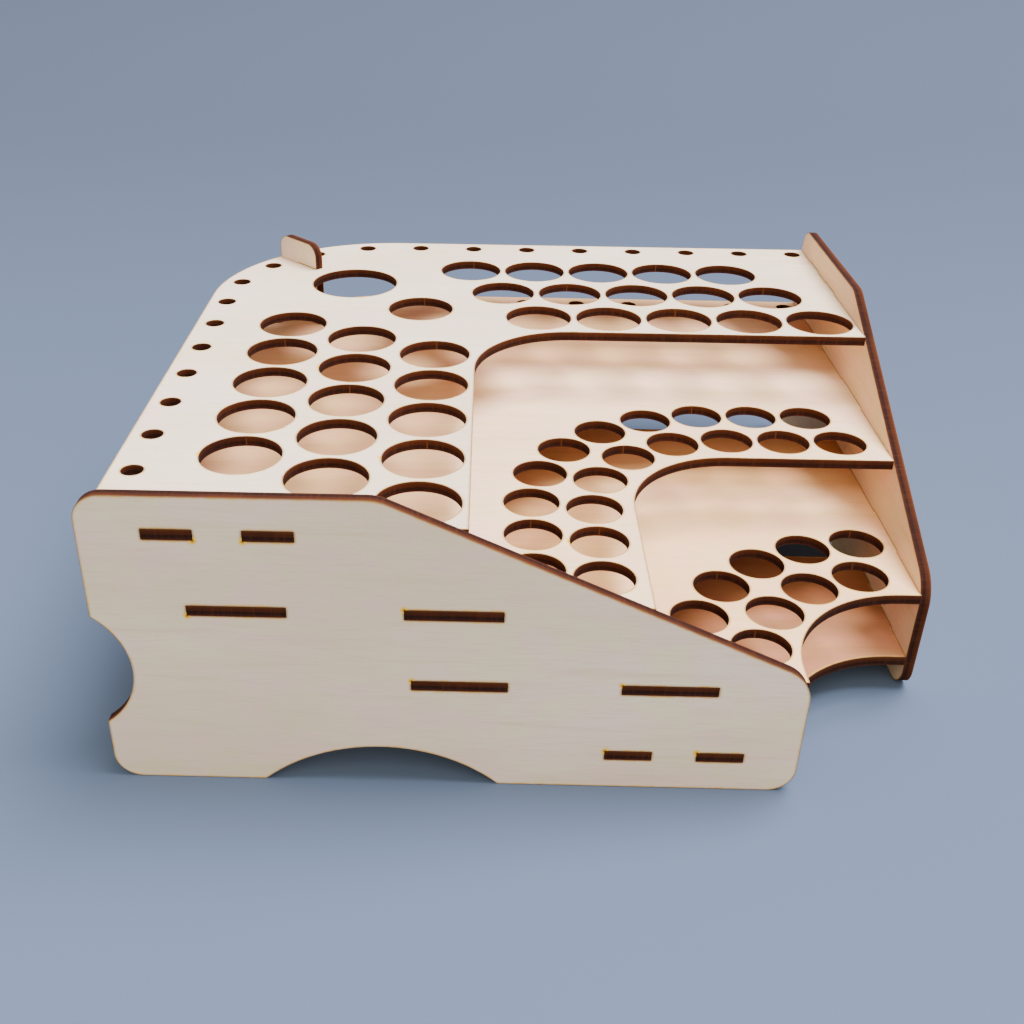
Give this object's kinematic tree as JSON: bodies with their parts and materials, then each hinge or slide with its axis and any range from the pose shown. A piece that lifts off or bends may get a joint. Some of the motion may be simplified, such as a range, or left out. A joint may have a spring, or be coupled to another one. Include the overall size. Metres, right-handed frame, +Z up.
{
  "type": "paint rack",
  "caption": "Corner paint rack of slot-together plywood: four shelves step down between two side panels, with round holes for bottles and brushes.",
  "frame": {"origin": "middle of the square footprint, on the table", "axes": "+Z up; the left side panel faces -Y, the right side panel faces +X and the rounded rear corner points to -X +Y"},
  "size_m": [0.378, 0.378, 0.145],
  "materials": {
    "panel_plywood": "matte, unfinished birch plywood with burnt laser-cut edges",
    "shelf_plywood": "matte, unfinished birch plywood with burnt laser-cut edges"
  },
  "bodies": {
    "root": {"side_panel_left": "panel_plywood", "side_panel_right": "panel_plywood", "top_shelf": "shelf_plywood", "middle_shelf": "shelf_plywood", "lower_shelf": "shelf_plywood", "base_shelf": "shelf_plywood", "corner_rib": "panel_plywood"}
  },
  "joints": []
}
